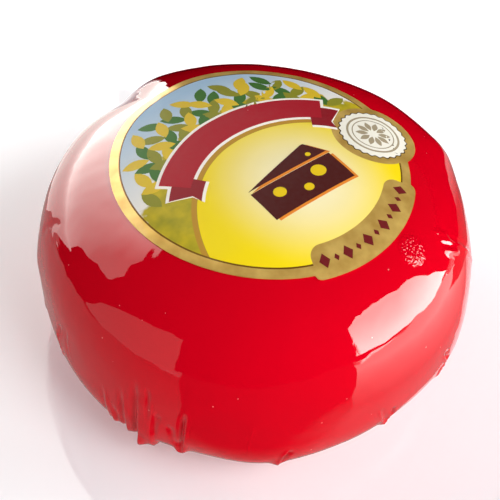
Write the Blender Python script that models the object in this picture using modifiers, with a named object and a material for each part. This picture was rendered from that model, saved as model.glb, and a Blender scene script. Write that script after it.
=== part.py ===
"""A squat ball of cheese in tight film, with a die-cut paper label on its domed top.

Metres, +Z up. The origin is the middle of the flat spot that the ball rests on,
below the centre of its plan. -Y is the front, where the film's widest pleats are.
"""

import math

import bmesh
import bpy
from mathutils import Vector

MM = 0.001

# The ball
RADIUS = 41 * MM  # mean radius of the plan
HEIGHT = 45.2 * MM  # of the round form, before its underside is flattened
WAIST = 16.2 * MM  # height of the widest level: the ball sags under its own weight
TOP_FULLNESS = 2.82  # 2 is an ellipse, and more has a flatter top and fuller shoulder
BASE_FULLNESS = 2.91
FLAT_DEPTH = 0.7 * MM  # how much of the round underside is flattened where it rests
# The plan is a little off round: waves to a turn, share as cosine, share as sine.
PLAN_WAVES = ((2, -0.010, 0.010), (3, 0.004, 0.012), (4, -0.002, -0.002), (5, -0.005, -0.004))

# Hand-sized swellings and dents: direction in degrees, height, spread, outward push.
LUMPS = (
    (146, 35.0 * MM, 4.5 * MM, -1.05 * MM),  # flat worn on the back left shoulder
    (133, 36.0 * MM, 3.5 * MM, 0.40 * MM),
    (28, 33.8 * MM, 3.0 * MM, 0.60 * MM),  # corner on the back right shoulder
    (11, 30.0 * MM, 6.0 * MM, -0.45 * MM),
    (-17, 14.8 * MM, 6.0 * MM, 0.50 * MM),
    (-41, 10.0 * MM, 8.0 * MM, -0.40 * MM),
    (-80, 8.4 * MM, 5.0 * MM, 0.45 * MM),
    (-100, 8.5 * MM, 6.0 * MM, -0.60 * MM),
    (-155, 12.0 * MM, 9.0 * MM, -0.50 * MM),
    (-167, 20.0 * MM, 3.0 * MM, 0.45 * MM),
)

# The film is gathered under the ball. Each pleat runs up the side from there:
# direction in degrees, half width in degrees, height it fades out at, relief.
FRONT_PLEATS = (
    (-124.0, 1.3, 17 * MM, 0.30 * MM),
    (-120.6, 1.2, 20 * MM, 0.40 * MM),
    (-117.6, 1.0, 22 * MM, 0.45 * MM),
    (-112.0, 2.3, 24 * MM, 1.10 * MM),  # the widest, folded flat like a tab
    (-107.4, 1.2, 22 * MM, 0.40 * MM),
    (-102.2, 1.1, 19 * MM, 0.80 * MM),
)
SMALL_PLEATS = 13  # round the rest of the ball
SMALL_PLEAT = (2.6, 14 * MM, 0.50 * MM)  # half width in degrees, height, relief
PLEAT_FADE = 7 * MM  # a pleat dies away over this much of its height
GATHER_IN = 24 * MM  # the pleats fade again between here and the flat spot
GATHER_OUT = 33 * MM

# The ball's mesh
SEGMENTS = 120
RINGS = 30
DENSEST_AT = math.radians(-112)  # segments crowd together at the widest pleat
CROWDING = 0.55  # 0 spaces the segments evenly

# The label
LABEL_RADIUS = 26.2 * MM
LABEL_AT = (-0.9 * MM, -1.6 * MM)  # its centre in plan
LABEL_THICK = 0.25 * MM
LABEL_GAP = 0.30 * MM  # from the film to the underside of the paper
SEAL_AT = (21.7 * MM, math.radians(27.8))  # distance and direction from the label's centre
SEAL_RADIUS = 8.0 * MM
BANNER_RADIUS = 27.1 * MM
BANNER_FROM = math.radians(-66)
BANNER_TO = math.radians(-1)
BANNER_ROUND = math.radians(3)  # its corners are rounded over this much of a turn
LABEL_SEGMENTS = 144
LABEL_RINGS = 4


def clear_scene():
    for leftover in list(bpy.data.objects):
        bpy.data.objects.remove(leftover, do_unlink=True)


def smooth_step(low, high, value):
    share = min(1.0, max(0.0, (value - low) / (high - low)))
    return share * share * (3 - 2 * share)


def plan_radius(turn):
    """Radius of the ball's plan in one direction, at its widest level."""
    waves = sum(c * math.cos(n * turn) + s * math.sin(n * turn) for n, c, s in PLAN_WAVES)
    return RADIUS * (1 + waves)


def round_point(turn, tilt):
    """Point of the smooth ball: tilt is 0 at the top and pi underneath."""
    above = tilt <= math.pi / 2
    power = 2 / (TOP_FULLNESS if above else BASE_FULLNESS)
    reach = HEIGHT - WAIST if above else -WAIST
    radius = plan_radius(turn) * max(0.0, math.sin(tilt)) ** power
    height = WAIST + reach * abs(math.cos(tilt)) ** power
    return Vector((radius * math.cos(turn), radius * math.sin(turn), height))


def outward(turn, tilt):
    """Unit normal of the smooth ball, from its two tangents."""
    step = 1e-3
    tilt = min(math.pi - 2 * step, max(2 * step, tilt))
    along = round_point(turn + step, tilt) - round_point(turn - step, tilt)
    down = round_point(turn, tilt + step) - round_point(turn, tilt - step)
    return down.cross(along).normalized()


def turn_between(a, b):
    """Signed difference of two directions, in radians."""
    return (a - b + math.pi) % (2 * math.pi) - math.pi


def lump_relief(point):
    """Outward push of the swellings and dents at a point."""
    push = 0.0
    for degrees, height, spread, amount in LUMPS:
        turn = math.radians(degrees)
        radius = math.hypot(point.x, point.y)
        middle = Vector((radius * math.cos(turn), radius * math.sin(turn), height))
        push += amount * math.exp(-0.5 * ((point - middle).length / spread) ** 2)
    return push


def all_pleats():
    """The front pleats, and small ones at uneven steps round the rest of the ball."""
    pleats = [(math.radians(d), math.radians(w), top, rise) for d, w, top, rise in FRONT_PLEATS]
    width, top, rise = SMALL_PLEAT
    for count in range(SMALL_PLEATS):
        turn = math.radians(-80 + count * 290 / (SMALL_PLEATS - 1) + 5 * math.sin(count * 2.4))
        size = 0.8 + 0.3 * math.sin(count * 1.7)
        pleats.append((turn, math.radians(width), top * (1 + 0.25 * math.sin(count * 3.1)), rise * size))
    return pleats


def pleat_relief(turn, point, pleats):
    """Outward push of the pleats: each is a ridge with a groove down one side."""
    push = 0.0
    for middle, half, top, rise in pleats:
        across = turn_between(turn, middle) / half
        if abs(across) < 2:
            ridge = math.exp(-((across / 0.75) ** 2))
            groove = math.exp(-(((across - 1.3) / 0.45) ** 2))
            reach = 1 - smooth_step(top - PLEAT_FADE, top, point.z)
            push += rise * (ridge - 0.7 * groove) * reach
    under = point.z < WAIST
    radius = math.hypot(point.x, point.y)
    return push * (smooth_step(GATHER_IN, GATHER_OUT, radius) if under else 1)


def crowded(turn):
    """Moves evenly spaced directions closer together round the widest pleat."""
    return turn - CROWDING * math.sin(turn - DENSEST_AT)


def shape_ball(ball):
    """Moves each point of a unit sphere to its place on the wrapped cheese."""
    pleats = all_pleats()
    for vertex in ball.verts:
        turn = crowded(math.atan2(vertex.co.y, vertex.co.x))
        tilt = math.acos(min(1.0, max(-1.0, vertex.co.z)))
        point = round_point(turn, tilt)
        relief = lump_relief(point) + pleat_relief(turn, point, pleats)
        vertex.co = point + relief * outward(turn, tilt)
        vertex.co.z = max(FLAT_DEPTH, vertex.co.z) - FLAT_DEPTH


def join_flat_spot(ball):
    """Makes one face of the triangles that lie on the table."""
    flat = [face for face in ball.faces if all(v.co.z < 1e-7 for v in face.verts)]
    bmesh.ops.dissolve_faces(ball, faces=flat, use_verts=True)


def plan_middle(ball):
    """Centre of the ball's bounding box in plan."""
    xs = [vertex.co.x for vertex in ball.verts]
    ys = [vertex.co.y for vertex in ball.verts]
    return Vector(((min(xs) + max(xs)) / 2, (min(ys) + max(ys)) / 2, 0))


def dome_height(x, y):
    """Height of the film above the table on the domed top, lumps left out."""
    share = math.hypot(x, y) / plan_radius(math.atan2(y, x))
    dome = (1 - share**TOP_FULLNESS) ** (1 / TOP_FULLNESS)
    return WAIST + (HEIGHT - WAIST) * dome - FLAT_DEPTH


def above_dome(x, y, gap):
    """Point at a distance straight off the film."""
    step = 0.1 * MM
    slope_x = (dome_height(x + step, y) - dome_height(x - step, y)) / (2 * step)
    slope_y = (dome_height(x, y + step) - dome_height(x, y - step)) / (2 * step)
    off = Vector((-slope_x, -slope_y, 1)).normalized()
    return Vector((x, y, dome_height(x, y))) + gap * off


def circle_reach(turn, middle, middle_turn, radius):
    """Distance from the label's centre to the far side of a circle, or 0 outside it."""
    away = turn_between(turn, middle_turn)
    miss = middle * math.sin(away)
    if abs(away) > math.pi / 2 or abs(miss) >= radius:
        return 0.0
    return middle * math.cos(away) + math.sqrt(radius**2 - miss**2)


def banner_reach(turn):
    """Distance to the banner's outer edge, drawn in at its rounded ends."""
    turn = turn_between(turn, 0)
    inside = min(turn - BANNER_FROM, BANNER_TO - turn)
    if inside <= 0:
        return 0.0
    corner = 1 - min(1.0, inside / BANNER_ROUND)
    return LABEL_RADIUS + (BANNER_RADIUS - LABEL_RADIUS) * math.sqrt(1 - corner**2)


def label_reach(turn):
    """The die-cut outline: a round label with a seal and a banner that stand proud."""
    return max(LABEL_RADIUS, circle_reach(turn, *SEAL_AT, SEAL_RADIUS), banner_reach(turn))


def shape_label(sheet):
    """Spreads the upper half of a unit sphere over the dome, out to the outline."""
    lower = [vertex for vertex in sheet.verts if vertex.co.z < -1e-4]
    bmesh.ops.delete(sheet, geom=lower, context="VERTS")
    for vertex in sheet.verts:
        turn = math.atan2(vertex.co.y, vertex.co.x)
        share = math.acos(min(1.0, max(0.0, vertex.co.z))) / (math.pi / 2)
        reach = share * label_reach(turn)
        x = LABEL_AT[0] + reach * math.cos(turn)
        y = LABEL_AT[1] + reach * math.sin(turn)
        vertex.co = above_dome(x, y, LABEL_GAP)


def principled(name, colour, roughness, coat=0.0):
    material = bpy.data.materials.new(name)
    material.use_nodes = True
    shader = material.node_tree.nodes["Principled BSDF"]
    shader.inputs["Base Color"].default_value = (*colour, 1)
    shader.inputs["Roughness"].default_value = roughness
    shader.inputs["Coat Weight"].default_value = coat
    return material


def finish_object(name, shape, collection, material):
    """Puts a finished bmesh in the scene as a smooth-shaded object."""
    mesh = bpy.data.meshes.new(name)
    bmesh.ops.recalc_face_normals(shape, faces=shape.faces)
    shape.to_mesh(mesh)
    shape.free()
    mesh.shade_smooth()
    mesh.set_sharp_from_angle(angle=math.radians(50))
    mesh.materials.append(material)
    finished = bpy.data.objects.new(name, mesh)
    collection.objects.link(finished)
    return finished


def build_ball():
    ball = bmesh.new()
    bmesh.ops.create_uvsphere(ball, u_segments=SEGMENTS, v_segments=RINGS, radius=1)
    shape_ball(ball)
    join_flat_spot(ball)
    return ball


def build_label():
    sheet = bmesh.new()
    bmesh.ops.create_uvsphere(sheet, u_segments=LABEL_SEGMENTS, v_segments=2 * LABEL_RINGS, radius=1)
    shape_label(sheet)
    return sheet


def main():
    clear_scene()
    collection = bpy.data.collections.new("ball_of_cheese")
    bpy.context.scene.collection.children.link(collection)

    ball = build_ball()
    label = build_label()
    to_origin = -plan_middle(ball)
    for shape in (ball, label):
        bmesh.ops.translate(shape, verts=shape.verts, vec=to_origin)

    film_red = principled("red_film", (0.62, 0.0, 0.008), 0.12, coat=0.5)
    paper = principled("printed_paper", (0.93, 0.80, 0.22), 0.35)
    finish_object("wrapped_cheese", ball, collection, film_red)
    sheet = finish_object("label", label, collection, paper)
    solid = sheet.modifiers.new("paper thickness", "SOLIDIFY")
    solid.thickness = LABEL_THICK
    solid.offset = 1.0


main()
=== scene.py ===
# %% [markdown]
# # A ball of cheese in red film
#
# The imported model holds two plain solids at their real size: the ball and its paper label. This lesson
# gives both of them their looks. We set up the camera, the table and the lights first, because a glossy
# film is mostly a picture of what stands round it. Then we model the film with its folds, the paper
# label, and the print on the paper.

# %% Load the frame
import math

import bpy
import numpy as np
from mathutils import Matrix, Vector, noise


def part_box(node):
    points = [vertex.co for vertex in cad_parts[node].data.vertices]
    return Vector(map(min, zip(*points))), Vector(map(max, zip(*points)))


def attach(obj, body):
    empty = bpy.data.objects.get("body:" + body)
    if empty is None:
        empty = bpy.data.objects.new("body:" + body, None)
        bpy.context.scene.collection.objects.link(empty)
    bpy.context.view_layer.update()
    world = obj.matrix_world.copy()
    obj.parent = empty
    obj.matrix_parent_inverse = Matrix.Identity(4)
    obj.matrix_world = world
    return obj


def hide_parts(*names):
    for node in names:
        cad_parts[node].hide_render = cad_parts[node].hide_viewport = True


MM = 0.001

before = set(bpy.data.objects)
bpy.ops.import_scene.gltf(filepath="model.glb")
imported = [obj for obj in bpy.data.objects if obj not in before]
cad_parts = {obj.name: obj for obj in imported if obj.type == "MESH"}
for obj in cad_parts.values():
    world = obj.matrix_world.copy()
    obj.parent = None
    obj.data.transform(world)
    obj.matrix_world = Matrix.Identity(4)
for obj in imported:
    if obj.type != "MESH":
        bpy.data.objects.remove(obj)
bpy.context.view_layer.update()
ball_low, ball_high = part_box("wrapped_cheese")
print("nodes:", sorted(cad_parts))
print("ball, mm:", [round(side / MM, 1) for side in ball_high - ball_low])

# %% [markdown]
# ## Small helpers
#
# Colours are written the way a paint program shows them, as sRGB hex, and one function turns them into
# the linear numbers that Blender's shaders count in. A second one adds a node with its settings and
# links, so that each material below reads as a short recipe.

# %% Colour and node helpers
def linear(hex_code):
    """Linear red, green, blue and alpha of an sRGB hex colour."""
    parts = [int(hex_code[i : i + 2], 16) / 255 for i in (1, 3, 5)]
    return (*(c / 12.92 if c <= 0.04045 else ((c + 0.055) / 1.055) ** 2.4 for c in parts), 1.0)


def add_node(material, kind, inputs=None, **settings):
    """Adds a node. An input is a value, or an output socket that gets linked to it."""
    tree = material.node_tree
    node = tree.nodes.new(kind)
    for name, value in settings.items():
        setattr(node, name, value)
    for name, value in (inputs or {}).items():
        socket = node.inputs[name]
        if isinstance(value, bpy.types.NodeSocket):
            tree.links.new(value, socket)
        else:
            socket.default_value = value
    return node


def new_material(name, inputs):
    """A material whose Principled shader has these values and links to come."""
    material = bpy.data.materials.new(name)
    material.use_nodes = True
    shader = material.node_tree.nodes["Principled BSDF"]
    for socket, value in inputs.items():
        shader.inputs[socket].default_value = value
    return material, shader


def link(material, output, target):
    material.node_tree.links.new(output, target)


# %% [markdown]
# ## Camera
#
# A short telephoto looks down at the ball at 46 degrees, and is rolled a little, so that the ball leans
# to the right in the frame. The camera comes first: all that is modelled later is judged through it.

# %% Camera
LENS = 84.8  # mm, on a 36 mm wide sensor
CAMERA_DISTANCE = 222.7 * MM
CAMERA_DROP = math.radians(45.84)  # how far below the horizon it looks
CAMERA_ROLL = math.radians(6.79)
AIM_FROM_MIDDLE = Vector((-1.1, 0.6, -3.5)) * MM

middle = (ball_low + ball_high) / 2
aim = Vector((middle.x, middle.y, middle.z)) + AIM_FROM_MIDDLE
looking = Vector((0, math.cos(CAMERA_DROP), -math.sin(CAMERA_DROP)))
tilt_up = Matrix.Rotation(math.pi / 2 - CAMERA_DROP, 3, "X")
roll = Matrix.Rotation(CAMERA_ROLL, 3, "Z")

bpy.ops.object.camera_add(location=aim - CAMERA_DISTANCE * looking)
camera = bpy.context.object
camera.name = "camera"
camera.rotation_euler = (tilt_up @ roll).to_euler()
camera.data.lens = LENS
camera.data.clip_start = 0.01
bpy.context.scene.camera = camera
bpy.context.scene.view_settings.view_transform = "Standard"
print("camera at, mm:", [round(value / MM, 1) for value in camera.location])

# %% [markdown]
# ## Table
#
# The ball stands on a sheet of white acrylic. It has a dead smooth skin over a milky body, so it is a
# pale diffuse base under a clear coat, which gives the faint mirror image under the ball. The sheet
# ends not far in front of the ball and to its left: there the film has only the dark room to reflect.
# The sheet also glows: painted light, faint in front and stronger towards the back.

# %% Table
TABLE_LEFT, TABLE_RIGHT, TABLE_FRONT, TABLE_BACK = (side * MM for side in (-124, 900, -185, 900))

bpy.ops.mesh.primitive_plane_add(size=1, location=((TABLE_LEFT + TABLE_RIGHT) / 2, (TABLE_FRONT + TABLE_BACK) / 2, 0))
table = bpy.context.object
table.name = "studio_table"
table.scale = (TABLE_RIGHT - TABLE_LEFT, TABLE_BACK - TABLE_FRONT, 1)
acrylic, acrylic_shader = new_material(
    "white_acrylic_sheet",
    {
        "Base Color": linear("#eeedf0"),
        "Roughness": 0.6,
        "Specular IOR Level": 0.0,
        "Coat Weight": 1.0,
        "Coat Roughness": 0.03,
        "Coat IOR": 1.49,
        "Emission Color": linear("#ffffff"),
    },
)
across_table = add_node(acrylic, "ShaderNodeNewGeometry").outputs["Position"]
from_back = add_node(acrylic, "ShaderNodeSeparateXYZ", {"Vector": across_table}).outputs["Y"]
# Emission of the sheet is painted light. It is faint in front and stronger towards the back, and it lifts the table and
# the shade round the ball.
painted_table_glow = add_node(
    acrylic,
    "ShaderNodeMapRange",
    {"Value": from_back, "From Min": -45 * MM, "From Max": 75 * MM, "To Min": 0.05, "To Max": 0.5},
)
link(acrylic, painted_table_glow.outputs["Result"], acrylic_shader.inputs["Emission Strength"])
table.data.materials.append(acrylic)

# %% [markdown]
# ## Lamps
#
# The light on the diffuse colours comes from large square lamps, set by compass direction (0 is +X, 90
# is the back) and height above the horizon. The strongest stands high at the front right, so the
# shadow falls to the back left. The film doesn't reflect these lamps: cards do that part below, which
# keeps the light and the reflections apart, each easy to set.

# %% Lamps
LAMP_DISTANCE = 0.7
ROOM_GLOW = 0.01  # the room is dark, but the camera sees a white backdrop past the table
LAMPS = (  # name, compass direction, height above the horizon, side in metres, watts
    ("lamp_front_right", -38, 40, 0.4, 3.4),
    ("lamp_front", -48, 20, 0.4, 1.4),
    ("lamp_above", 0, 88, 0.4, 0.1),
    ("lamp_back_left", 150, 25, 0.4, 1.1),
    ("lamp_left", -160, 25, 0.4, 0.7),
    ("lamp_front_left_low", -125, 10, 0.3, 1.2),
    ("lamp_right", 5, 30, 0.4, 1.4),
    ("lamp_right_low", 4, 10, 0.25, 2.2),
)


def toward(degrees, above):
    """Level one unit out in this compass direction, and so far up."""
    turn, rise = math.radians(degrees), math.radians(above)
    return Vector((math.cos(turn), math.sin(turn), math.tan(rise)))


for name, degrees, above, side, watts in LAMPS:
    away = toward(degrees, above).normalized()
    bpy.ops.object.light_add(type="AREA", location=middle + LAMP_DISTANCE * away)
    lamp = bpy.context.object
    lamp.name = name
    lamp.data.shape = "SQUARE"
    lamp.data.size = side
    lamp.data.energy = watts
    lamp.rotation_euler = away.to_track_quat("Z", "Y").to_euler()
    lamp.visible_glossy = False

world = bpy.data.worlds.new("dark_room")
bpy.context.scene.world = world
world.use_nodes = True
backdrop = world.node_tree.nodes["Background"]
backdrop.inputs["Color"].default_value = linear("#ffffff")
backdrop_seen = add_node(world, "ShaderNodeLightPath").outputs["Is Camera Ray"]
backdrop_strength = add_node(
    world, "ShaderNodeMapRange", {"Value": backdrop_seen, "To Min": ROOM_GLOW, "To Max": 1.0}
).outputs["Result"]
link(world, backdrop_strength, backdrop.inputs["Strength"])

# %% [markdown]
# ## Cards
#
# The shapes on the film are soft boxes, white reflectors and black flags. Each is a flat card that only
# reflections see, with a glow that can fade from one point to another. A standing card is drawn as the
# directions in which a place on the film sees its corners. A lying card has its corners on the table.

# %% Cards
WARM_WHITE = "#fffcf6"


def seen_from(eye, away, *directions):
    """Points in mm, a level distance away from a place on the film, in these directions."""
    facing = sum(degrees for degrees, _ in directions) / len(directions)
    return [
        Vector(eye) + away / math.cos(math.radians(degrees - facing)) * toward(degrees, above)
        for degrees, above in directions
    ]


def card(name, corners, glow, fade=None):
    """Card through these corners in mm. A fade is two points and the glow at the second."""
    bpy.ops.object.select_all(action="DESELECT")
    bpy.ops.mesh.primitive_circle_add(vertices=len(corners), radius=1, fill_type="NGON")
    panel = bpy.context.object
    panel.name = name
    for vertex, corner in zip(panel.data.vertices, corners):
        vertex.co = Vector(corner) * MM
    panel.data.update()
    if panel.data.polygons[0].normal.dot(middle - panel.data.vertices[0].co) < 0:
        panel.data.flip_normals()
    panel.visible_camera = panel.visible_diffuse = panel.visible_shadow = False
    cloth = bpy.data.materials.new(name + "_cloth")
    cloth.use_nodes = True
    cloth.node_tree.nodes.clear()
    start, end, last_glow = fade or (corners[0], corners[1], glow)
    start = Vector(start) * MM
    along = Vector(end) * MM - start
    place = add_node(cloth, "ShaderNodeTexCoord").outputs["Object"]
    share = add_node(cloth, "ShaderNodeVectorMath", {0: place, 1: along / along.length_squared}, operation="DOT_PRODUCT")
    ahead = start.dot(along) / along.length_squared
    strength = add_node(
        cloth,
        "ShaderNodeMapRange",
        {"Value": share.outputs["Value"], "From Min": ahead, "From Max": ahead + 1, "To Min": glow, "To Max": last_glow},
    )
    emission = add_node(
        cloth, "ShaderNodeEmission", {"Color": linear(WARM_WHITE), "Strength": strength.outputs["Result"]}
    )
    behind = add_node(cloth, "ShaderNodeNewGeometry").outputs["Backfacing"]
    nothing = add_node(cloth, "ShaderNodeBsdfTransparent").outputs["BSDF"]
    one_sided = add_node(cloth, "ShaderNodeMixShader", {0: behind, 1: emission.outputs["Emission"], 2: nothing})
    add_node(cloth, "ShaderNodeOutputMaterial", {"Surface": one_sided.outputs["Shader"]})
    panel.data.materials.append(cloth)
    return panel


RIGHT_SHOULDER, LEFT_SHOULDER, LEFT_FLANK = (25, -22, 33), (-28, -5, 38), (-22, -28, 32)

card(
    "soft_box_right",
    seen_from(RIGHT_SHOULDER, 500, (-35, -2), (-35, 27), (-21.6, 34), (-12, 34), (6, 27), (14, 10), (20, -2)),
    12.0,
    fade=((475, -60, 60), (475, -60, 300), 7.0),
)
card(
    "soft_box_back_left",
    seen_from(
        LEFT_SHOULDER,
        500,
        *((109, -4.3), (109, 22), (140, 48), (168, 58), (180, 52), (185, 42), (193, 32)),
        *((190, 18), (184, 16), (180, 12), (175, 9), (169, -4.3)),
    ),
    8.5,
    fade=((-250, 450, 0), (-520, -20, 0), 1.5),
)
card(
    "glow_on_the_table_back_left",
    [(-190, 480, 0.3), (-42, 60, 0.3), (-70, 28, 0.3), (-95, 36, 0.3), (-135, 28, 0.3), (-390, 55, 0.3)]
    + [(-560, 80, 0.3), (-480, 480, 0.3)],
    1.6,
    fade=((-80, 40, 0), (-250, 400, 0), 5.0),
)
card(
    "soft_box_over_the_back",
    seen_from((0, 0, 0), 700, (140, 22), (140, 76), (78, 76), (78, 22)),
    4.5,
    fade=((-250, 700, 0), (120, 700, 0), 0.5),
)
card(
    "reflector_left",
    seen_from(
        LEFT_FLANK,
        128,
        *((-114, -14), (-114, 25), (-127, 24), (-142, 19), (-158, 9), (-165, 0), (-175, -14)),
    ),
    0.6,
)
card(
    "dim_table_left",
    [(0, -20, 0.2), (0, -135, 0.2), (-124, -135, 0.2), (-135, 28, 0.2), (-95, 36, 0.2), (-70, 28, 0.2)]
    + [(-42, 60, 0.2), (-15, 20, 0.2)],
    0.42,
    fade=((-90, 10, 0), (-50, -100, 0), 0.2),
)
card(
    "black_flag_front",
    [(1.6, -18, 0.4), (-81, -185, 0.4), (230, -185, 0.4), (10, -15, 0.4)],
    0.4,
    fade=((0, -39, 0), (0, -50, 0), 0.04),
)
card(
    "glow_on_the_table_right",
    [(15, -27, 0.6), (150, -126, 0.6), (900, -126, 0.6), (900, 200, 0.6), (192, 66, 0.6), (80, 35, 0.6), (36, -20, 0.6)],
    0.4,
    fade=((42, -34, 0), (103, -68, 0), 2.8),
)
card(
    "dim_table_back_right",
    [(80, 35, 0.8), (150, 20, 0.8), (192, 66, 0.8), (104, 120, 0.8), (40, 67, 0.8), (45, 50, 0.8)],
    0.14,
    fade=((109, 87, 0), (99, 104, 0), 0.6),
)
FLAG_LINE = ((-37, 67), (40, 67), (104, 120), (192, 66))
for number, (end, next_end) in enumerate(zip(FLAG_LINE, FLAG_LINE[1:]), 1):
    card(f"black_flag_back_{number}", [(*end, 0), (*end, 80), (*next_end, 80), (*next_end, 0)], 0.0)

# %% [markdown]
# ## The ball's smooth form
#
# A soft cheese sags under its own weight: a flat top, a full shoulder, the widest level a third of the
# way up. Each side of that outline is a superellipse, which is an ellipse with a fuller corner. The
# plan is a circle with a few slow waves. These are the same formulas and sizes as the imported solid's,
# but here they move the points of a far finer sphere. All of it is worked out in millimetres.

# %% Formulas of the form
RADIUS = 41.0
HEIGHT = 45.2
WAIST = 16.2
TOP_FULLNESS = 2.82
BASE_FULLNESS = 2.91
FLAT_DEPTH = 0.7
PLAN_WAVES = ((2, -0.010, 0.010), (3, 0.004, 0.012), (4, -0.002, -0.002), (5, -0.005, -0.004))
PLAN_MIDDLE = np.array([0.01, -0.63])  # of the form's own box, which the model is centred on


def smooth_step(low, high, value):
    share = np.clip((value - low) / (high - low), 0, 1)
    return share * share * (3 - 2 * share)


def plan_radius(turn):
    return RADIUS * (1 + sum(c * np.cos(n * turn) + s * np.sin(n * turn) for n, c, s in PLAN_WAVES))


def outline(tilt):
    """Share of the plan radius and height: tilt is 0 at the top and pi underneath."""
    above = tilt <= np.pi / 2
    power = np.where(above, 2 / TOP_FULLNESS, 2 / BASE_FULLNESS)
    reach = np.where(above, HEIGHT - WAIST, -WAIST)
    return np.maximum(0, np.sin(tilt)) ** power, WAIST + reach * np.abs(np.cos(tilt)) ** power


def round_form(turn, tilt):
    share, height = outline(tilt)
    radius = plan_radius(turn) * share
    return np.stack([radius * np.cos(turn), radius * np.sin(turn), height], axis=-1)


def facing_out(turn, tilt):
    """Unit normals of the smooth form, from its two tangents."""
    step = 1e-3
    tilt = np.clip(tilt, 2 * step, np.pi - 2 * step)
    along = round_form(turn + step, tilt) - round_form(turn - step, tilt)
    down = round_form(turn, tilt + step) - round_form(turn, tilt - step)
    normal = np.cross(down, along)
    return normal / np.linalg.norm(normal, axis=-1, keepdims=True)


# %% [markdown]
# ## Spend the points where they show
#
# A plain sphere would spend half of its points under the label and on the back. We measure the outline
# once, in millimetres of film from the middle of the top, and space the rows by how much happens at
# each level. Round the ball, the columns are drawn together towards the front.

# %% Rows and columns
COLUMNS = 640
ROWS = 150
CROWDED_AT = math.radians(-75)
CROWDING = 0.55

fine_tilt = np.linspace(0, np.pi, 6001)
fine_share, fine_height = outline(fine_tilt)
fine_radius = RADIUS * fine_share
steps = np.hypot(np.diff(fine_radius), np.diff(fine_height))
fine_down = np.concatenate([[0], np.cumsum(steps)])  # mm of film from the top's middle
widest_down = np.interp(np.pi / 2, fine_tilt, fine_down)


def rows_per_mm(down):
    """More rows on the shoulder, most on the pleated lower side, few on top and underneath."""
    radius, height = np.interp(down, fine_down, fine_radius), np.interp(down, fine_down, fine_height)
    under = down > widest_down
    visible = 0.35 + 1.1 * smooth_step(20, 23, radius) * ~under + 1.3 * under * smooth_step(22, 33, radius)
    return visible + 1.2 * (1 - smooth_step(23, 26, height)) * smooth_step(5.5, 7, height) * (radius > 30)


density = rows_per_mm((fine_down[1:] + fine_down[:-1]) / 2) * steps
row_at = np.concatenate([[0], np.cumsum(density)]) / density.sum() * ROWS
print("film from top to bottom, mm:", round(fine_down[-1], 1), " rows wanted:", round(density.sum()))

# %% Sphere with its points spread out
bpy.ops.object.select_all(action="DESELECT")
bpy.ops.mesh.primitive_uv_sphere_add(segments=COLUMNS, ring_count=ROWS, radius=1)
film = bpy.context.object
film.name = "film_wrapped_cheese"

unit = np.empty(len(film.data.vertices) * 3)
film.data.vertices.foreach_get("co", unit)
unit = unit.reshape(-1, 3)
angle = np.arctan2(unit[:, 1], unit[:, 0])
turn = angle - CROWDING * np.sin(angle - CROWDED_AT)
turn = (turn + np.pi) % (2 * np.pi) - np.pi
tilt = np.interp(np.arccos(np.clip(unit[:, 2], -1, 1)) / np.pi * ROWS, row_at, fine_tilt)
point = round_form(turn, tilt)
outward = facing_out(turn, tilt)
around = turn * RADIUS  # mm round the ball, for laying out the folds
down = np.interp(tilt, fine_tilt, fine_down)  # mm of film below the top's middle
print(film.name, "starts from", len(point), "points")

# %% [markdown]
# ## Dents and swellings
#
# The cheese under the film isn't a turned shape. It has worn flats, a soft corner and shallow dents as
# wide as a thumb. Each is a small hill or hollow that dies away with distance, like a sculpt stroke.

# %% Dents, swellings and the film's slow waves
LUMPS = (  # direction in degrees, height, spread, outward push
    (146, 35.0, 4.5, -1.05),
    (133, 36.0, 3.5, 0.40),
    (28, 33.8, 3.0, 0.60),
    (11, 30.0, 6.0, -0.45),
    (-17, 14.8, 6.0, 0.50),
    (-41, 10.0, 8.0, -0.40),
    (-80, 8.4, 5.0, 0.45),
    (-100, 8.5, 6.0, -0.60),
    (-155, 12.0, 9.0, -0.50),
    (-167, 20.0, 3.0, 0.45),
)
relief = np.zeros(len(point))
for degrees, height, spread, push in LUMPS:
    direction = math.radians(degrees)
    radius = np.hypot(point[:, 0], point[:, 1])
    middle_x, middle_y = radius * math.cos(direction), radius * math.sin(direction)
    gap = (point[:, 0] - middle_x) ** 2 + (point[:, 1] - middle_y) ** 2 + (point[:, 2] - height) ** 2
    relief += push * np.exp(-0.5 * gap / spread**2)

WAVES = ((7.0, 0.070), (3.0, 0.028), (1.6, 0.013))  # wavelength and size in mm
for wavelength, size in WAVES:
    relief += size * np.array([noise.noise(Vector(p) / wavelength) for p in point])

# %% [markdown]
# ## Folds in the film
#
# Tight film can't lie flat on a ball: the spare film gathers in pleats at the lower edge, and where it
# was pinched it stands up in thin creases. Each fold here is a path drawn on the film, with a sharp
# ridge along it and a groove beside it, and it tapers at both ends. A brush in Sculpt mode would do the
# same by hand; a table of strokes is easier to change.

# %% Lay out a stroke
def down_at(height):
    """mm of film below the top's middle, at a height above the table on the side."""
    side = fine_tilt > 0.3
    return np.interp(-(height + FLAT_DEPTH), -fine_height[side], fine_down[side])


def along_stroke(path):
    """Share along a path, and signed distance from it, of every point near it.

    The path is (degrees, height) pairs. Distance is positive to the right of the path.
    """
    corners = np.array([(math.radians(d) * RADIUS, down_at(h)) for d, h in path])
    lengths = np.linalg.norm(np.diff(corners, axis=0), axis=1)
    best = np.full(len(around), 1e9)
    share = np.zeros(len(around))
    side = np.zeros(len(around))
    start = 0.0
    for a, b, length in zip(corners[:-1], corners[1:], lengths):
        ahead = (b - a) / length
        off = np.stack([around - a[0], down - a[1]], axis=1)
        on = np.clip(off @ ahead, 0, length)
        away = np.linalg.norm(off - on[:, None] * ahead, axis=1)
        right = off[:, 0] * ahead[1] - off[:, 1] * ahead[0]
        nearer = away < best
        best[nearer] = away[nearer]
        share[nearer] = ((start + on) / lengths.sum())[nearer]
        side[nearer] = (np.sign(right) * away)[nearer]
        start += length
    return share, side


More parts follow.
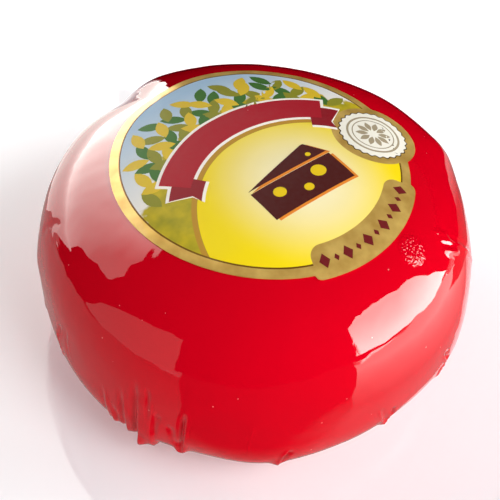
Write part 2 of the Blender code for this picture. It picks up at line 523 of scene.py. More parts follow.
def fold(path, rise, width, dip=0.0, dip_at=0.0, dip_width=0.5, fade=(0.25, 0.25)):
    """A ridge along a path and a groove at a distance to one side of it, in mm."""
    share, side = along_stroke(path)
    ends = smooth_step(0, fade[0], share) * (1 - smooth_step(1 - fade[1], 1, share))
    if fade[1] == 0:
        ends = smooth_step(0, fade[0], share)
    ridge = rise * np.exp(-np.abs(side / width) ** 1.4)
    groove = dip * np.exp(-(((side - dip_at) / dip_width) ** 2))
    return ends * (ridge - groove)


# %% Folds that show at the front and the sides
FOLDS = (
    # front left, the gathered pleats from left to right
    dict(path=((-123.2, 18), (-122.6, 13.8), (-122.0, 7)), rise=0.28, width=0.35, dip=0.15, dip_at=-0.8, fade=(0.4, 0)),
    dict(path=((-122.0, 14.5), (-121.0, 11), (-120.2, 7)), rise=0.22, width=0.3, dip=0.3, dip_at=0.9, fade=(0.4, 0)),
    dict(path=((-117.4, 21), (-116.8, 15.2), (-116.3, 7)), rise=0.28, width=0.3, dip=0.4, dip_at=-0.8, fade=(0.4, 0)),
    dict(path=((-116.2, 17), (-115.2, 13), (-114.6, 7)), rise=0.25, width=0.3, dip=0.2, dip_at=0.6, fade=(0.4, 0)),
    dict(path=((-106.4, 18.6), (-107.1, 16.5), (-107.9, 12)), rise=0.1, width=0.35, dip=0.25, dip_at=-0.9, dip_width=0.6),
    dict(path=((-108.6, 18.6), (-107.9, 16), (-108.4, 9)), rise=0.22, width=0.5, fade=(0.4, 0.2)),
    dict(path=((-105.2, 17), (-104.4, 14), (-103.6, 10)), rise=0.0, width=0.3, dip=0.28, dip_width=0.6),
    dict(path=((-100.9, 21.5), (-101.2, 16), (-101.7, 8)), rise=0.30, width=0.3, dip=0.6, dip_at=-0.65, dip_width=0.45, fade=(0.3, 0.1)),
    # front, thin crease and small notches at the lower edge
    dict(path=((-86.0, 22), (-86.5, 15), (-86.2, 10)), rise=0.07, width=0.25),
    dict(path=((-76.6, 13.4), (-78.0, 11.6), (-78.9, 7.5)), rise=0.26, width=0.35, dip=0.6, dip_at=0.7, dip_width=0.45),
    dict(path=((-53.0, 16.3), (-50.8, 12.2), (-48.0, 8.6)), rise=0.20, width=0.3, dip=0.15, dip_at=0.6),
    dict(path=((-48.3, 14), (-47.4, 11), (-48.6, 8.0)), rise=0.28, width=0.3, dip=0.65, dip_at=0.7, dip_width=0.45),
    dict(path=((-29.0, 18.0), (-25.0, 13.5), (-26.5, 10.5)), rise=0.3, width=0.3, dip=0.7, dip_at=0.75, dip_width=0.45),
    # left side, a long crease on the shoulder and two lens-shaped folds below it
    dict(path=((-167, 28.0), (-163.0, 29.5), (-153.8, 30.6), (-146.5, 30.3), (-140.5, 29.2)), rise=0.14, width=0.22, fade=(0.15, 0.3)),
    dict(path=((-168.0, 27.0), (-162.5, 32.4), (-158.5, 34.2)), rise=0.12, width=0.25, dip=0.22, dip_at=-1.0, dip_width=0.9),
    dict(path=((-142.0, 19.3), (-144.6, 14.5), (-142.6, 9.5)), rise=0.3, width=0.3, dip=0.5, dip_at=-0.7, dip_width=0.45),
    dict(path=((-138.6, 21), (-139.0, 17.5), (-137.2, 13.5)), rise=0.16, width=0.25, dip=0.12, dip_at=-0.5),
    # right shoulder, where the film was pinched
    dict(path=((-18.6, 38.5), (-15.7, 37.3), (-13.8, 35.7)), rise=0.42, width=0.5, dip=0.1, dip_at=-0.8, fade=(0.3, 0.3)),
    dict(path=((-19.5, 37.9), (-16.8, 36.8), (-13.2, 34.4), (-9.5, 32.4)), rise=0.36, width=0.45, dip=0.12, dip_at=0.8, fade=(0.2, 0.3)),
    dict(path=((-20.4, 36.3), (-17.0, 34.9), (-13.0, 33.4)), rise=0.55, width=0.6, dip=0.18, dip_at=0.9, fade=(0.3, 0.3)),
    dict(path=((-12.7, 34.2), (-9.2, 31.6), (-5.7, 28.0), (-4.0, 24.0)), rise=0.25, width=0.3, dip=0.2, dip_at=0.7),
)
for stroke in FOLDS:
    relief += fold(**stroke)
print("folds drawn by hand:", len(FOLDS))

# %% [markdown]
# ## The tab and the loose ends of the pleats
#
# The widest pleat is folded flat like a tab. It stands proud of the film at both edges, most of all at
# its lower end, where it sticks out over the lower edge. It is a plateau with steep sides, and its
# lower end stops short, so that the film under it turns sharply back in. The other pleats end in small
# lips of the same kind.

# %% Tab, grooves beside it, and lips
TAB_PATH = ((-111.6, 21.5), (-111.2, 16), (-110.9, 7))
TAB_HALF = 1.55
TAB_TOP_RISE, TAB_END_RISE = 0.25, 1.0
share, side = along_stroke(TAB_PATH)
steep_left = smooth_step(-TAB_HALF - 0.15, -TAB_HALF + 0.2, side)
steep_right = 1 - smooth_step(TAB_HALF - 0.5, TAB_HALF + 0.3, side)
climb = TAB_TOP_RISE + (TAB_END_RISE - TAB_TOP_RISE) * smooth_step(0.2, 0.95, share)
stops = smooth_step(6.9, 7.9, point[:, 2] - FLAT_DEPTH + 0.35 * side / TAB_HALF)
relief += steep_left * steep_right * climb * smooth_step(0, 0.15, share) * stops

relief += fold(((-114.5, 25), (-114.2, 18), (-114.2, 6.5)), rise=0, width=0.3, dip=0.5, dip_width=0.55, fade=(0.3, 0.1))
relief += fold(((-111.1, 24), (-110.6, 20), (-110.3, 15)), rise=0, width=0.3, dip=0.3, dip_width=0.3, fade=(0.2, 0.5))

LIPS = (  # direction in degrees, height, half width in mm, push: each drops off sharply below
    (-112.8, 7.9, 1.1, 0.9),
    (-102.6, 8.2, 1.0, 0.9),
    (-119.8, 8.8, 1.4, 0.45),
    (-116.2, 8.2, 0.9, 0.4),
    (-78.6, 7.6, 1.1, 0.5),
    (-48.2, 8.4, 0.8, 0.4),
    (-27.0, 10.4, 0.8, 0.35),
)
for degrees, height, half, push in LIPS:
    off = (turn - math.radians(degrees)) * RADIUS / half
    above = down_at(height) - down
    lip = smooth_step(-0.35, 0.1, above) * (1 - smooth_step(0.4, 3.5, above))
    relief += push * np.exp(-(off**2)) * lip

# %% Pleats round the back and gathers underneath
BACK_PLEATS = 26
BACK_FROM, BACK_TO = -16, 206
luck = np.random.RandomState(11)
for count in range(BACK_PLEATS):
    degrees = BACK_FROM + (BACK_TO - BACK_FROM) * (count + luck.uniform(0.2, 0.8)) / BACK_PLEATS
    degrees = (degrees + 180) % 360 - 180
    top, lean = luck.uniform(10, 17), luck.uniform(-1.5, 1.5)
    path = ((degrees + lean, top), (degrees + lean / 3, top / 2 + 4), (degrees, 6.5))
    side_of = luck.choice([-0.7, 0.7])
    relief += fold(path, luck.uniform(0.1, 0.35), 0.35, luck.uniform(0.1, 0.4), side_of, 0.45, (0.5, 0.1))

GATHERS = 34
GATHER_HEIGHT = 0.55
plan_distance = np.hypot(point[:, 0], point[:, 1])
underneath = down > widest_down
phase = GATHERS / 2 * turn + 1.3 * np.sin(3 * turn) + 0.7 * np.sin(7 * turn + 1)
reach = smooth_step(15, 27, plan_distance) * (1 - smooth_step(31, 38, plan_distance)) * underneath
relief += GATHER_HEIGHT * (1 - np.abs(np.sin(phase))) ** 2 * reach

# %% Move the points
placed = point + relief[:, None] * outward
placed[:, :2] -= PLAN_MIDDLE
placed[:, 2] = np.maximum(FLAT_DEPTH, placed[:, 2]) - FLAT_DEPTH
film.data.vertices.foreach_set("co", (placed * MM).ravel())
film.data.update()
bpy.ops.object.shade_smooth()
print("film now, mm:", [round(side / MM, 2) for side in film.dimensions])

# %% [markdown]
# ## Finish of the film
#
# The film is clear, thin and drawn tight over red cheese wax. The wax gives the deep red and a broad,
# weak shine; the film gives the sharp reflections, so it is the shader's coat. Drawn film is never
# quite flat: it has a fine grain, and here and there a speck of air or dust is caught under it. The
# specks are pale pink in the base colour: partly the dust's own colour, partly a painted glint of trapped air.

# %% Film material
WAX_RED = "#cc0018"
# pale pink of the specks: partly dust, partly a painted glint of air trapped under the film
DUST_AND_GLINT_PINK = "#f47f7c"
GRAIN = 0.45 * MM
CRUMPLE_AT = (25.9 * MM, -14.4 * MM, 39.0 * MM)  # a small crumpled patch beside the pinched film
CRUMPLE_REACH = 3.4 * MM
CRUMPLE_GRAIN = 0.5 * MM
SPECK_CELL = 3.4 * MM
SPECK_RADIUS = 0.038  # as a share of a cell

film_finish, shader = new_material(
    "clear_film_on_red_wax",
    {
        "Roughness": 0.4,
        "Specular IOR Level": 0.0,
        "Coat Weight": 1.0,
        "Coat Roughness": 0.015,
        "Coat IOR": 1.58,
    },
)
on_object = add_node(film_finish, "ShaderNodeTexCoord").outputs["Object"]
cells = add_node(
    film_finish,
    "ShaderNodeTexVoronoi",
    {"Vector": on_object, "Scale": 1 / SPECK_CELL, "Randomness": 1.0},
    feature="F1",
)
# Sparse specks in pale pink: partly dust, partly painted glints of trapped air.
speck = add_node(
    film_finish,
    "ShaderNodeMath",
    {0: cells.outputs["Distance"], 1: SPECK_RADIUS},
    operation="LESS_THAN",
)
colour = add_node(
    film_finish,
    "ShaderNodeMix",
    {"Factor": speck.outputs["Value"], 6: linear(WAX_RED), 7: linear(DUST_AND_GLINT_PINK)},
    data_type="RGBA",
)
link(film_finish, colour.outputs[2], shader.inputs["Base Color"])
grain = add_node(film_finish, "ShaderNodeTexNoise", {"Vector": on_object, "Scale": 1 / GRAIN, "Detail": 2.0})
bump = add_node(
    film_finish,
    "ShaderNodeBump",
    {"Strength": 0.12, "Distance": 0.01 * MM, "Height": grain.outputs["Fac"]},
)
from_crumple = add_node(
    film_finish, "ShaderNodeVectorMath", {0: on_object, 1: CRUMPLE_AT}, operation="DISTANCE"
).outputs["Value"]
crumpled = add_node(
    film_finish,
    "ShaderNodeMapRange",
    {"Value": from_crumple, "From Min": CRUMPLE_REACH, "From Max": 0.55 * CRUMPLE_REACH},
    interpolation_type="SMOOTHSTEP",
)
creases = add_node(film_finish, "ShaderNodeTexNoise", {"Vector": on_object, "Scale": 1 / CRUMPLE_GRAIN, "Detail": 1.0})
crumple = add_node(
    film_finish,
    "ShaderNodeMath",
    {0: creases.outputs["Fac"], 1: crumpled.outputs["Result"]},
    operation="MULTIPLY",
)
bump = add_node(
    film_finish,
    "ShaderNodeBump",
    {"Strength": 1.0, "Distance": 0.28 * MM, "Height": crumple.outputs["Value"], "Normal": bump.outputs["Normal"]},
)
link(film_finish, bump.outputs["Normal"], shader.inputs["Normal"])
link(film_finish, bump.outputs["Normal"], shader.inputs["Coat Normal"])
film.data.materials.append(film_finish)
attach(film, "root")
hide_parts("wrapped_cheese")

# %% [markdown]
# ## The paper label
#
# The label is die-cut: a circle with a round seal and a curved banner that stand proud of it. It starts
# as a circle of points on the cut line and is extruded inwards ring by ring. Then each point is laid on
# the domed film, and Solidify gives the paper its thickness. The UV map keeps each point's place on the
# flat sheet, so that the print follows the paper. The design has its own upright, turned to the ball.

# %% Outline of the label
LABEL_RADIUS = 26.2
LABEL_AT = np.array([-0.9, -1.6])  # in plan, before the form is centred
LABEL_TURN = math.radians(46)  # the design's own rightward direction
SEAL_AT = (21.7, math.radians(27.8))
SEAL_RADIUS = 8.0
BANNER_RADIUS = 27.1
BANNER_FROM, BANNER_TO, BANNER_ROUND = (math.radians(angle) for angle in (-66, -1, 3))
SHEET_SCALE = 60.0  # mm of sheet across the UV square


def turn_between(a, b):
    return (a - b + math.pi) % (2 * math.pi) - math.pi


def circle_reach(turn, middle, middle_turn, radius):
    """Distance from the label's centre to the far side of a circle, or 0 outside it."""
    away = turn_between(turn, middle_turn)
    miss = middle * math.sin(away)
    if abs(away) > math.pi / 2 or abs(miss) >= radius:
        return 0.0
    return middle * math.cos(away) + math.sqrt(radius**2 - miss**2)


def banner_reach(turn):
    """Distance to the banner's outer edge, drawn in at its rounded ends."""
    turn = turn_between(turn, 0)
    inside = min(turn - BANNER_FROM, BANNER_TO - turn)
    if inside <= 0:
        return 0.0
    corner = 1 - min(1.0, inside / BANNER_ROUND)
    return LABEL_RADIUS + (BANNER_RADIUS - LABEL_RADIUS) * math.sqrt(1 - corner**2)


def label_reach(turn):
    return max(LABEL_RADIUS, circle_reach(turn, *SEAL_AT, SEAL_RADIUS), banner_reach(turn))


# %% Laying things on the dome
def soft_relief(points):
    """The dents, swellings and slow waves, without the folds, for points on the smooth form."""
    push = np.zeros(len(points))
    radius = np.hypot(points[:, 0], points[:, 1])
    for degrees, height, spread, amount in LUMPS:
        direction = math.radians(degrees)
        middle = np.stack([radius * math.cos(direction), radius * math.sin(direction)], axis=1)
        gap = ((points[:, :2] - middle) ** 2).sum(axis=1) + (points[:, 2] - height) ** 2
        push += amount * np.exp(-0.5 * gap / spread**2)
    for wavelength, size in WAVES:
        push += size * np.array([noise.noise(Vector(p) / wavelength) for p in points])
    return push


def lay_on_dome(x, y, lift):
    """Points straight off the film above places in plan, in mm."""
    turn = np.arctan2(y, x)
    share = np.hypot(x, y) / plan_radius(turn)
    tilt = np.arcsin(np.clip(share, 0, 1) ** (TOP_FULLNESS / 2))
    tilt = np.maximum(tilt, 1e-4)
    points = round_form(turn, tilt)
    laid = points + (soft_relief(points) + lift)[:, None] * facing_out(turn, tilt)
    laid[:, :2] -= PLAN_MIDDLE
    laid[:, 2] -= FLAT_DEPTH
    return laid


def lay_print(flat, lift):
    """Points on the label from places in the design's own frame, p to the right and q up."""
    p, q = flat[:, 0], flat[:, 1]
    x = LABEL_AT[0] + p * math.cos(LABEL_TURN) - q * math.sin(LABEL_TURN)
    y = LABEL_AT[1] + p * math.sin(LABEL_TURN) + q * math.cos(LABEL_TURN)
    return lay_on_dome(x, y, lift)


# %% Rings of the sheet
LABEL_POINTS = 480
LABEL_RINGS = 30
PAPER_GAP = 0.05
PAPER_THICK = 0.16

bpy.ops.object.select_all(action="DESELECT")
bpy.ops.mesh.primitive_circle_add(vertices=LABEL_POINTS, radius=1)
sheet = bpy.context.object
sheet.name = "paper_label"
bpy.ops.object.mode_set(mode="EDIT")
bpy.ops.mesh.select_all(action="SELECT")
for ring in range(LABEL_RINGS, 1, -1):
    bpy.ops.mesh.extrude_region_move()
    bpy.ops.transform.resize(value=((ring - 1) / ring,) * 3)
bpy.ops.mesh.extrude_region_move()
bpy.ops.mesh.merge(type="CENTER")
bpy.ops.object.mode_set(mode="OBJECT")

disc = np.empty(len(sheet.data.vertices) * 3)
sheet.data.vertices.foreach_get("co", disc)
disc = disc.reshape(-1, 3)
turns = np.arctan2(disc[:, 1], disc[:, 0])
reach = np.hypot(disc[:, 0], disc[:, 1]) * np.array([label_reach(t) for t in turns])
x, y = reach * np.cos(turns), reach * np.sin(turns)
flat = np.stack(
    [
        x * math.cos(LABEL_TURN) + y * math.sin(LABEL_TURN),
        -x * math.sin(LABEL_TURN) + y * math.cos(LABEL_TURN),
    ],
    axis=1,
)

# %% Map, lay and thicken the sheet
CREASE = ((17.0, 15.0), (4.5, 10.0))  # a fold in the paper, from and to, in the design's frame
EMBOSS_RADIUS, EMBOSS_HEIGHT = 24.5, 0.05

print_map = sheet.data.uv_layers.new(name="print")
corner_at = np.empty(len(sheet.data.loops), dtype=np.int32)
sheet.data.loops.foreach_get("vertex_index", corner_at)
print_map.data.foreach_set("uv", (flat[corner_at] / SHEET_SCALE + 0.5).ravel())


def paper_lift(flat):
    """Height of the sheet's underside above the film: the crease and the embossed rim stand up."""
    a, b = (np.array(end) for end in CREASE)
    ahead = (b - a) / np.linalg.norm(b - a)
    on = np.clip((flat - a) @ ahead, 0, np.linalg.norm(b - a))
    away = np.linalg.norm(flat - a - on[:, None] * ahead, axis=1)
    emboss = smooth_step(EMBOSS_RADIUS - 0.4, EMBOSS_RADIUS + 0.1, np.hypot(flat[:, 0], flat[:, 1]))
    return PAPER_GAP + 0.10 * np.exp(-((away / 0.35) ** 2)) + EMBOSS_HEIGHT * emboss


sheet.data.vertices.foreach_set("co", (lay_print(flat, paper_lift(flat)) * MM).ravel())
sheet.data.update()
bpy.ops.object.mode_set(mode="EDIT")
bpy.ops.mesh.select_all(action="SELECT")
bpy.ops.mesh.normals_make_consistent(inside=False)
bpy.ops.object.mode_set(mode="OBJECT")
if sheet.data.polygons[0].normal.z < 0:
    sheet.data.flip_normals()
solid = sheet.modifiers.new("paper thickness", "SOLIDIFY")
solid.thickness = PAPER_THICK * MM
solid.offset = 1
solid.material_offset_rim = 1
bpy.ops.object.modifier_apply(modifier=solid.name)
bpy.ops.object.shade_smooth_by_angle(angle=math.radians(40))
print(sheet.name, "has", len(sheet.data.polygons), "faces")

# %% [markdown]
# ## Print on the label
#
# The label is coated paper, printed in four colours, with a gold foil rim. The large fields are worked
# out in the material from the flat sheet's map: a pale sky above, a yellow disc with a cream glow below,
# and gold on the rim, round the seal and on the banner. Distances on the map are in millimetres.

# %% Coated paper with its fields of colour
DISC_AT, DISC_RADIUS = (0.0, -17.0), 22.0
GLOW_AT = (1.0, -9.0)
RIM_FROM = 24.5
SEAL_MIDDLE = (20.57, -6.83)
BANNER_BAND = 21.4
BANNER_MIDDLE, BANNER_HALF = math.radians(-79.5), math.radians(32)
CORNER = 2.2  # radius of the banner's inner corners

paper, shader = new_material(
    "offset_printed_coated_paper",
    {"Coat Roughness": 0.1, "Specular IOR Level": 0.05},
)


def maths(material, operation, first, second, third=0.0):
    node = add_node(material, "ShaderNodeMath", {0: first, 1: second, 2: third}, operation=operation)
    return node.outputs["Value"]


def blend_colour(material, factor, below, above):
    node = add_node(material, "ShaderNodeMix", {"Factor": factor, 6: below, 7: above}, data_type="RGBA")
    return node.outputs[2]


on_map = add_node(paper, "ShaderNodeUVMap", uv_map="print").outputs["UV"]
centred = add_node(paper, "ShaderNodeVectorMath", {0: on_map, 1: (0.5, 0.5, 0)}, operation="SUBTRACT")
in_mm = add_node(
    paper, "ShaderNodeVectorMath", {0: centred.outputs["Vector"], "Scale": SHEET_SCALE}, operation="SCALE"
).outputs["Vector"]


def distance_from(place):
    node = add_node(paper, "ShaderNodeVectorMath", {0: in_mm, 1: (*place, 0)}, operation="DISTANCE")
    return node.outputs["Value"]


parts = add_node(paper, "ShaderNodeSeparateXYZ", {"Vector": in_mm})
from_middle = distance_from((0, 0))
from_disc = distance_from(DISC_AT)
height_share = add_node(
    paper, "ShaderNodeMapRange", {"Value": parts.outputs["Y"], "From Min": 4.0, "From Max": 22.0}
).outputs["Result"]
sky = blend_colour(paper, height_share, linear("#efeae2"), linear("#a9c8e2"))
glow_share = add_node(
    paper,
    "ShaderNodeMapRange",
    {"Value": distance_from(GLOW_AT), "From Min": 3.0, "From Max": 18.0},
    interpolation_type="SMOOTHSTEP",
).outputs["Result"]
yellow = blend_colour(paper, glow_share, linear("#f8ecbe"), linear("#f1d514"))
leafy_grain = add_node(
    paper, "ShaderNodeTexNoise", {"Vector": in_mm, "Scale": 0.35, "Detail": 2.0}
).outputs["Fac"]
leafy = blend_colour(paper, leafy_grain, linear("#6f7a22"), linear("#e0c024"))
leafy_edge = maths(paper, "MULTIPLY_ADD", leafy_grain, 6.0, 27.5)
in_leafy = add_node(
    paper, "ShaderNodeMapRange", {"Value": maths(paper, "SUBTRACT", from_disc, leafy_edge), "From Min": 0.3, "From Max": -0.3}
).outputs["Result"]
in_disc = maths(paper, "LESS_THAN", from_disc, DISC_RADIUS)
fields = blend_colour(paper, in_disc, blend_colour(paper, in_leafy, sky, leafy), yellow)
arc_line = maths(paper, "COMPARE", from_disc, DISC_RADIUS + 0.5, 0.45)
fields = blend_colour(paper, arc_line, fields, linear("#b98a2e"))
on_rim = maths(paper, "GREATER_THAN", from_middle, RIM_FROM)
round_seal = maths(paper, "LESS_THAN", distance_from(SEAL_MIDDLE), SEAL_RADIUS - 0.3)
compass = maths(paper, "ARCTAN2", parts.outputs["Y"], parts.outputs["X"])
past_end = maths(paper, "ABSOLUTE", maths(paper, "SUBTRACT", compass, BANNER_MIDDLE), 0.0)
past_end = maths(paper, "MULTIPLY_ADD", past_end, BANNER_BAND, CORNER - BANNER_BAND * BANNER_HALF)
past_end = maths(paper, "MAXIMUM", past_end, 0.0)
past_side = maths(paper, "MAXIMUM", maths(paper, "SUBTRACT", BANNER_BAND + CORNER, from_middle), 0.0)
corner = add_node(paper, "ShaderNodeCombineXYZ", {"X": past_end, "Y": past_side}).outputs["Vector"]
corner = add_node(paper, "ShaderNodeVectorMath", {0: corner}, operation="LENGTH").outputs["Value"]
on_banner = maths(paper, "LESS_THAN", corner, CORNER)
foil = maths(paper, "MAXIMUM", maths(paper, "MAXIMUM", on_rim, round_seal), on_banner)
foil_grain = add_node(
    paper,
    "ShaderNodeTexNoise",
    {"Vector": add_node(paper, "ShaderNodeTexCoord").outputs["Object"], "Scale": 1 / (3.5 * MM), "Detail": 3.0},
).outputs["Fac"]
foil_grain = maths(paper, "MULTIPLY_ADD", foil_grain, 1.5, -0.25)
gold = blend_colour(paper, foil_grain, linear("#a87f38"), linear("#debb68"))
printed = blend_colour(paper, foil, fields, gold)
on_edge = maths(paper, "MAXIMUM", on_banner, round_seal)
rim_line = maths(paper, "SUBTRACT", maths(paper, "COMPARE", from_middle, RIM_FROM, 0.14), on_edge)
rim_line = maths(paper, "MAXIMUM", rim_line, 0.0)
printed = blend_colour(paper, rim_line, printed, linear("#6d4a16"))
link(paper, printed, shader.inputs["Base Color"])
link(paper, maths(paper, "MULTIPLY", foil, 0.3), shader.inputs["Metallic"])
link(paper, maths(paper, "MULTIPLY_ADD", foil, 0.4, 0.04), shader.inputs["Coat Weight"])
link(paper, maths(paper, "MULTIPLY_ADD", foil, -0.12, 0.45), shader.inputs["Roughness"])
sheet.data.materials.append(paper)

cut_edge, _ = new_material("cut_paper_edge", {"Base Color": linear("#efe3c4"), "Roughness": 0.85})
sheet.data.materials.append(cut_edge)
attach(sheet, "root")
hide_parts("label")

# %% [markdown]
# ## Motifs of the print
#
# The motifs have crisp edges, so each is a thin mesh of its own, laid on the paper like a layer of ink.
# All of them start as a square grid. A short formula for each says where a place on the grid, from 0 to
# 1 both ways, lands on the flat design. The design is generic: a plain ribbon, leaves, a wedge of
# cheese, a rosette on the seal and a row of lozenges on the banner.

# %% Ink on paper
INK_THICK = 0.03


def ink(name, colour, roughness=0.4):
    """Offset ink: even and slightly glossy, with the faint mottle of the paper under it."""
    material, shader = new_material(
        name,
        {"Roughness": roughness, "Coat Weight": 0.04, "Coat Roughness": 0.1, "Specular IOR Level": 0.05},
    )
    place = add_node(material, "ShaderNodeTexCoord").outputs["Object"]
    mottle = add_node(material, "ShaderNodeTexNoise", {"Vector": place, "Scale": 1 / (0.8 * MM), "Detail": 2.0})
    full = linear(colour)
    thin = tuple(0.9 * part + 0.012 for part in full[:3]) + (1,)
    link(material, blend_colour(material, mottle.outputs["Fac"], full, thin), shader.inputs["Base Color"])
    return material


def motif(name, columns, rows, place):
    """Flat piece in the design's frame: place takes two shares from 0 to 1 to mm."""
    bpy.ops.object.select_all(action="DESELECT")
    bpy.ops.mesh.primitive_grid_add(x_subdivisions=columns, y_subdivisions=rows, size=1)
    piece = bpy.context.object
    piece.name = name
    for vertex in piece.data.vertices:
        p, q = place(vertex.co.x + 0.5, vertex.co.y + 0.5)
        vertex.co = (p, q, 0)
    bpy.ops.object.mode_set(mode="EDIT")
    bpy.ops.mesh.select_all(action="SELECT")
    bpy.ops.mesh.remove_doubles(threshold=0.01)
    bpy.ops.object.mode_set(mode="OBJECT")
    return piece


def join_as(name, pieces):
    bpy.ops.object.select_all(action="DESELECT")
    for piece in pieces:
        piece.select_set(True)
    bpy.context.view_layer.objects.active = pieces[0]
    bpy.ops.object.join()
    pieces[0].name = name
    return pieces[0]


def lay_ink(piece, layer, material):
    """Lays a flat motif on the paper, gives it its thickness and fixes it to the ball."""
    mesh = piece.data
    flat = np.array([vertex.co[:2] for vertex in mesh.vertices])
    lift = paper_lift(flat) + PAPER_THICK + layer * 0.012
    mesh.vertices.foreach_set("co", (lay_print(flat, lift) * MM).ravel())
    mesh.update()
    bpy.ops.object.select_all(action="DESELECT")
    piece.select_set(True)
    bpy.context.view_layer.objects.active = piece
    bpy.ops.object.mode_set(mode="EDIT")
    bpy.ops.mesh.select_all(action="SELECT")
    bpy.ops.mesh.normals_make_consistent(inside=False)
    bpy.ops.object.mode_set(mode="OBJECT")
    if sum(face.normal.z for face in mesh.polygons) < 0:
        mesh.flip_normals()
    solid = piece.modifiers.new("ink thickness", "SOLIDIFY")
    solid.thickness = INK_THICK * MM
    solid.offset = 0
    bpy.ops.object.modifier_apply(modifier=solid.name)
    bpy.ops.object.shade_smooth_by_angle(angle=math.radians(40))
    piece.data.materials.clear()
    piece.data.materials.append(material)
    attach(piece, "root")
    print(piece.name, len(piece.data.polygons), "faces")


def on_arc(centre, radius, degrees):
    angle = math.radians(degrees)
    return centre[0] + radius * math.sin(angle), centre[1] + radius * math.cos(angle)


# %% Ribbon
RIBBON_AT, RIBBON_RADIUS, RIBBON_WIDE, RIBBON_SWEEP = (0.0, -17.0), 26.2, 5.4, 40.0
RIBBON_EDGE = 0.55


def ribbon_band(name, extra, sweep):
    def place(u, v):
        return on_arc(RIBBON_AT, RIBBON_RADIUS + (v - 0.5) * (RIBBON_WIDE + 2 * extra), (2 * u - 1) * sweep)

    return motif(name, 70, 8, place)


def ribbon_tail(sign, extra):
    def place(u, v):
        notch = 1.6 * (1 - abs(2 * v - 1)) * u
        degrees = sign * (RIBBON_SWEEP - 5 + (12 + extra) * u)
        p, q = on_arc(RIBBON_AT, RIBBON_RADIUS - 2.2 + (v - 0.5) * (RIBBON_WIDE + 2 * extra), degrees)
        return p - sign * notch, q

    return motif("tail", 14, 8, place)


lay_ink(join_as("print_ribbon_edge", [ribbon_band("edge", RIBBON_EDGE, RIBBON_SWEEP + 1.2)]
                + [ribbon_tail(sign, RIBBON_EDGE) for sign in (-1, 1)]), 1.5, ink("white_ink", "#fff8ee"))
lay_ink(join_as("print_ribbon_tails", [ribbon_tail(sign, 0) for sign in (-1, 1)]), 2.2, ink("deep_red_ink", "#8d0f1d"))
lay_ink(ribbon_band("print_ribbon", 0, RIBBON_SWEEP), 3.2, ink("red_ink", "#ab1024"))

# %% Leaves behind the ribbon
LEAF_LONG, LEAF_WIDE = 4.8, 2.2
LEAF_ROWS = ((29.6, 66, 27), (31.8, 58, 24), (34.2, 48, 19), (36.4, 36, 12))  # radius, sweep in degrees, leaves
LEAF_TINTS = (("leaf_green_ink", "#3f6f2c"), ("olive_ink", "#8f8d25"), ("straw_ink", "#e2bf2a"))

leaves = {tint: [] for tint, _ in LEAF_TINTS}
for row, (radius, sweep, number) in enumerate(LEAF_ROWS):
    for count in range(number):
        degrees = (2 * count / (number - 1) - 1) * sweep
        root = on_arc(RIBBON_AT, radius, degrees)
        if math.hypot(*root) + LEAF_LONG / 2 > RIM_FROM - 0.3:
            continue
        lean = math.radians(90 - degrees + (38 if count % 2 else -38))

        def place(u, v, root=root, lean=lean):
            half = LEAF_WIDE / 2 * math.sin(math.pi * u) ** 0.8 * (2 * v - 1)
            along = (u - 0.5) * LEAF_LONG
            return (
                root[0] + along * math.cos(lean) - half * math.sin(lean),
                root[1] + along * math.sin(lean) + half * math.cos(lean),
            )

        tint = LEAF_TINTS[(count + row) % len(LEAF_TINTS)][0]
        leaves[tint].append(motif("leaf", 6, 3, place))
for layer, (tint, colour) in enumerate(LEAF_TINTS):
    lay_ink(join_as("print_leaves_" + tint.split("_")[0], leaves[tint]), 0.4 + 0.25 * layer, ink(tint, colour))

# %% Wedge of cheese
WEDGE_AT = (0.5, -8.0)
WEDGE_HOLES = ((-4.6, -1.0, 1.25), (0.4, -2.9, 0.95), (4.4, -0.9, 1.5), (5.6, 3.1, 0.55))  # place and radius
WEDGE_SHADOW = 0.5


def slab(corners, shift=0.0):
    """Four-sided piece between these corners, given round from the lower left."""

    def place(u, v):
        low, high = (np.array(corners[a]) * (1 - u) + np.array(corners[b]) * u for a, b in ((0, 1), (3, 2)))
        p, q = low * (1 - v) + high * v
        return WEDGE_AT[0] + p + shift, WEDGE_AT[1] + q - shift

    return motif("slab", 16, 8, place)


def hole(middle_p, middle_q, radius):
    def place(u, v):
        angle = 2 * math.pi * u
        return (
            WEDGE_AT[0] + middle_p + radius * v * math.cos(angle),
            WEDGE_AT[1] + middle_q + 0.85 * radius * v * math.sin(angle),
        )

    return motif("hole", 28, 3, place)


WEDGE_FACE = ((-9.0, -5.2), (9.0, -5.2), (9.0, 1.4), (-9.0, 1.4))
WEDGE_TOP = ((-9.0, 2.0), (9.0, 2.0), (6.6, 5.6), (6.0, 5.6))
for name, shift, layer, colour in (
    ("orange", WEDGE_SHADOW, 0.6, "#e8892a"),
    ("brown", 0.0, 1.8, "#4a120f"),
):
    halves = [slab(WEDGE_FACE, shift), slab(WEDGE_TOP, shift)]
    lay_ink(join_as("print_wedge_" + name, halves), layer, ink(name + "_ink", colour))
lay_ink(join_as("print_wedge_holes", [hole(*each) for each in WEDGE_HOLES]), 3.0, ink("yellow_ink", "#ecc912"))

# %% Seal
SEAL_FACE, SCALLOPS = 6.1, 26


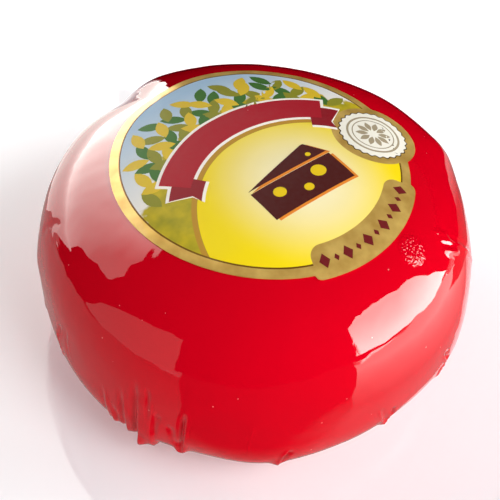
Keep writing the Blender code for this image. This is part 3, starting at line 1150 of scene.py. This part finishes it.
def disc_at(name, centre, radius, rows, wave=0.0, waves=1):
    def place(u, v):
        angle = 2 * math.pi * u
        reach = v * (radius + wave * math.cos(waves * angle))
        return centre[0] + reach * math.cos(angle), centre[1] + reach * math.sin(angle)

    return motif(name, 156, rows, place)


def ring_at(centre, inner, outer):
    def place(u, v):
        angle = 2 * math.pi * u
        reach = inner + (outer - inner) * v
        return centre[0] + reach * math.cos(angle), centre[1] + reach * math.sin(angle)

    return motif("ring", 96, 2, place)


def petal_at(centre, count, petals):
    def place(u, v):
        angle = 2 * math.pi * count / petals
        along, half = 0.9 + 2.4 * u, 0.55 * math.sin(math.pi * u) * (2 * v - 1)
        return (
            centre[0] + along * math.cos(angle) - half * math.sin(angle),
            centre[1] + along * math.sin(angle) + half * math.cos(angle),
        )

    return motif("petal", 6, 2, place)


lay_ink(disc_at("print_seal_shadow", SEAL_MIDDLE, SEAL_FACE + 0.22, 8, 0.18, SCALLOPS), 0.5, ink("dark_brown_ink", "#4b3a20"))
lay_ink(disc_at("print_seal", SEAL_MIDDLE, SEAL_FACE, 8, 0.18, SCALLOPS), 1.2, ink("cream_ink", "#f7f2e4"))
rosette = [petal_at(SEAL_MIDDLE, count, 10) for count in range(10)]
rosette += [ring_at(SEAL_MIDDLE, 4.55, 4.95), ring_at(SEAL_MIDDLE, 3.75, 3.95)]
lay_ink(join_as("print_seal_rosette", rosette), 2.0, ink("stone_ink", "#a8997c"))

# %% Lozenges on the banner
LOZENGES = 11
LOZENGE_RADIUS = 24.3
lozenges = []
for count in range(LOZENGES):
    degrees = math.degrees(BANNER_MIDDLE) + (2 * count / (LOZENGES - 1) - 1) * 27
    middle_at = math.radians(degrees)
    big = 1.0 if count % 2 == 0 else 0.5

    def place(u, v, middle_at=middle_at, big=big):
        across, up = (u + v - 1) * 1.0 * big, (v - u) * 1.25 * big
        reach, angle = LOZENGE_RADIUS + up, middle_at + across / LOZENGE_RADIUS
        return reach * math.cos(angle), reach * math.sin(angle)

    lozenges.append(motif("lozenge", 4, 4, place))
lay_ink(join_as("print_lozenges", lozenges), 0.8, ink("maroon_ink", "#6b1518"))
